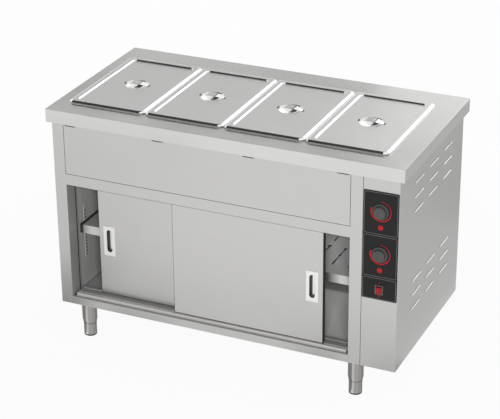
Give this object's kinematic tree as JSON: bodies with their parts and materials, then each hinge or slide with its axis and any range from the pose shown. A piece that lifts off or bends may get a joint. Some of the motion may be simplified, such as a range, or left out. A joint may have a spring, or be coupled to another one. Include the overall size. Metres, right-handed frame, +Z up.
{
  "type": "hot cupboard",
  "caption": "Stainless steel hot cupboard with sliding doors, lidded bain-marie pans in its worktop, a louvred side, a control column and adjustable legs.",
  "frame": {"origin": "on the floor, under the middle of the whole outline, knobs included", "axes": "+X to the right along the front, +Y from the doors to the back, +Z up"},
  "size_m": [1.46, 0.751, 1.0015],
  "materials": {
    "steel_body": "satin brushed",
    "steel_inner": "satin",
    "steel_pan": "fine satin",
    "bright_steel": "polished",
    "white_nylon": "moulded",
    "black_plastic": "fine grain",
    "dark_plastic": "moulded",
    "grey_plastic": "moulded",
    "cream_plastic": "moulded",
    "red_lens": "translucent gloss",
    "element_steel": "heat-tinted"
  },
  "bodies": {
    "cabinet": {"worktop": "steel_body", "side_left": "steel_body", "side_right": "steel_body", "rear_panel": "steel_body", "stile_left": "steel_body", "stile_right": "steel_body", "apron_panel": "steel_body", "header_rail": "steel_body", "plinth_rail": "steel_body", "column_front": "steel_body", "leg_sleeves": "steel_body", "cupboard_floor": "steel_inner", "cupboard_ceiling": "steel_inner", "liner_left": "steel_inner", "liner_right": "steel_inner", "shelf": "steel_inner", "shelf_supports": "steel_inner", "door_track": "steel_inner", "door_guide": "steel_inner", "well_tank": "steel_inner", "pan_bars": "steel_inner", "rear_screws": "steel_inner", "control_fascia": "black_plastic", "cable_gland": "black_plastic", "switch_body": "grey_plastic", "thermostats": "cream_plastic", "pilot_lamps": "red_lens", "heating_elements": "element_steel"},
    "door_left": {"door_left": "steel_body", "door_left_inner": "steel_inner", "pull_left": "bright_steel", "hangers_left": "steel_inner"},
    "door_right": {"door_right": "steel_body", "door_right_inner": "steel_inner", "pull_right": "bright_steel", "hangers_right": "steel_inner"},
    "knob_upper": {"knob_upper": "dark_plastic"},
    "knob_lower": {"knob_lower": "dark_plastic"},
    "rocker": {"rocker": "red_lens"},
    "wheel_left_1": {"wheel_left_1": "white_nylon"},
    "wheel_left_2": {"wheel_left_2": "white_nylon"},
    "wheel_right_1": {"wheel_right_1": "white_nylon"},
    "wheel_right_2": {"wheel_right_2": "white_nylon"},
    "pan_1": {"gn_pan_1": "steel_pan"},
    "lid_1": {"gn_lid_1": "steel_pan", "lid_handle_1": "bright_steel"},
    "foot_1": {"foot_1": "steel_body"},
    "pan_2": {"gn_pan_2": "steel_pan"},
    "lid_2": {"gn_lid_2": "steel_pan", "lid_handle_2": "bright_steel"},
    "foot_2": {"foot_2": "steel_body"},
    "pan_3": {"gn_pan_3": "steel_pan"},
    "lid_3": {"gn_lid_3": "steel_pan", "lid_handle_3": "bright_steel"},
    "foot_3": {"foot_3": "steel_body"},
    "pan_4": {"gn_pan_4": "steel_pan"},
    "lid_4": {"gn_lid_4": "steel_pan", "lid_handle_4": "bright_steel"},
    "foot_4": {"foot_4": "steel_body"}
  },
  "joints": [
    {"name": "door_left_slide", "type": "slide", "parent": "cabinet", "child": "door_left", "axis": [1, 0, 0], "range_m": [-0.107, 0.448]},
    {"name": "door_right_slide", "type": "slide", "parent": "cabinet", "child": "door_right", "axis": [1, 0, 0], "range_m": [-0.448, 0.107]},
    {"name": "wheel_left_1_roll", "type": "hinge", "parent": "door_left", "child": "wheel_left_1", "pos_m": [-0.482, -0.2925, 0.703], "axis": [0, 1, 0], "continuous": true},
    {"name": "wheel_left_2_roll", "type": "hinge", "parent": "door_left", "child": "wheel_left_2", "pos_m": [0.001, -0.2925, 0.703], "axis": [0, 1, 0], "continuous": true},
    {"name": "wheel_right_1_roll", "type": "hinge", "parent": "door_right", "child": "wheel_right_1", "pos_m": [-0.141, -0.3295, 0.703], "axis": [0, 1, 0], "continuous": true},
    {"name": "wheel_right_2_roll", "type": "hinge", "parent": "door_right", "child": "wheel_right_2", "pos_m": [0.342, -0.3295, 0.703], "axis": [0, 1, 0], "continuous": true},
    {"name": "pan_1_lift", "type": "slide", "parent": "cabinet", "child": "pan_1", "axis": [0, 0, 1], "range_m": [0, 0.2]},
    {"name": "lid_1_lift", "type": "slide", "parent": "pan_1", "child": "lid_1", "axis": [0, 0, 1], "range_m": [0, 0.2]},
    {"name": "foot_1_level", "type": "slide", "parent": "cabinet", "child": "foot_1", "axis": [0, 0, 1], "range_m": [-0.025, 0.03]},
    {"name": "pan_2_lift", "type": "slide", "parent": "cabinet", "child": "pan_2", "axis": [0, 0, 1], "range_m": [0, 0.2]},
    {"name": "lid_2_lift", "type": "slide", "parent": "pan_2", "child": "lid_2", "axis": [0, 0, 1], "range_m": [0, 0.2]},
    {"name": "foot_2_level", "type": "slide", "parent": "cabinet", "child": "foot_2", "axis": [0, 0, 1], "range_m": [-0.025, 0.03]},
    {"name": "pan_3_lift", "type": "slide", "parent": "cabinet", "child": "pan_3", "axis": [0, 0, 1], "range_m": [0, 0.2]},
    {"name": "lid_3_lift", "type": "slide", "parent": "pan_3", "child": "lid_3", "axis": [0, 0, 1], "range_m": [0, 0.2]},
    {"name": "foot_3_level", "type": "slide", "parent": "cabinet", "child": "foot_3", "axis": [0, 0, 1], "range_m": [-0.025, 0.03]},
    {"name": "pan_4_lift", "type": "slide", "parent": "cabinet", "child": "pan_4", "axis": [0, 0, 1], "range_m": [0, 0.2]},
    {"name": "lid_4_lift", "type": "slide", "parent": "pan_4", "child": "lid_4", "axis": [0, 0, 1], "range_m": [0, 0.2]},
    {"name": "foot_4_level", "type": "slide", "parent": "cabinet", "child": "foot_4", "axis": [0, 0, 1], "range_m": [-0.025, 0.03]},
    {"name": "knob_upper_turn", "type": "hinge", "parent": "cabinet", "child": "knob_upper", "pos_m": [0.64, -0.3555, 0.801], "axis": [0, 1, 0], "range_deg": [0, 290]},
    {"name": "knob_lower_turn", "type": "hinge", "parent": "cabinet", "child": "knob_lower", "pos_m": [0.64, -0.3555, 0.629], "axis": [0, 1, 0], "range_deg": [0, 290]},
    {"name": "rocker_tip", "type": "hinge", "parent": "cabinet", "child": "rocker", "pos_m": [0.64, -0.3555, 0.485], "axis": [1, 0, 0], "range_deg": [-14, 0]}
  ],
  "couplings": [
    {"joint": "wheel_left_1_roll", "follows": "door_left_slide", "rad_per_m": 103.09},
    {"joint": "wheel_left_2_roll", "follows": "door_left_slide", "rad_per_m": 103.09},
    {"joint": "wheel_right_1_roll", "follows": "door_right_slide", "rad_per_m": 103.09},
    {"joint": "wheel_right_2_roll", "follows": "door_right_slide", "rad_per_m": 103.09}
  ]
}
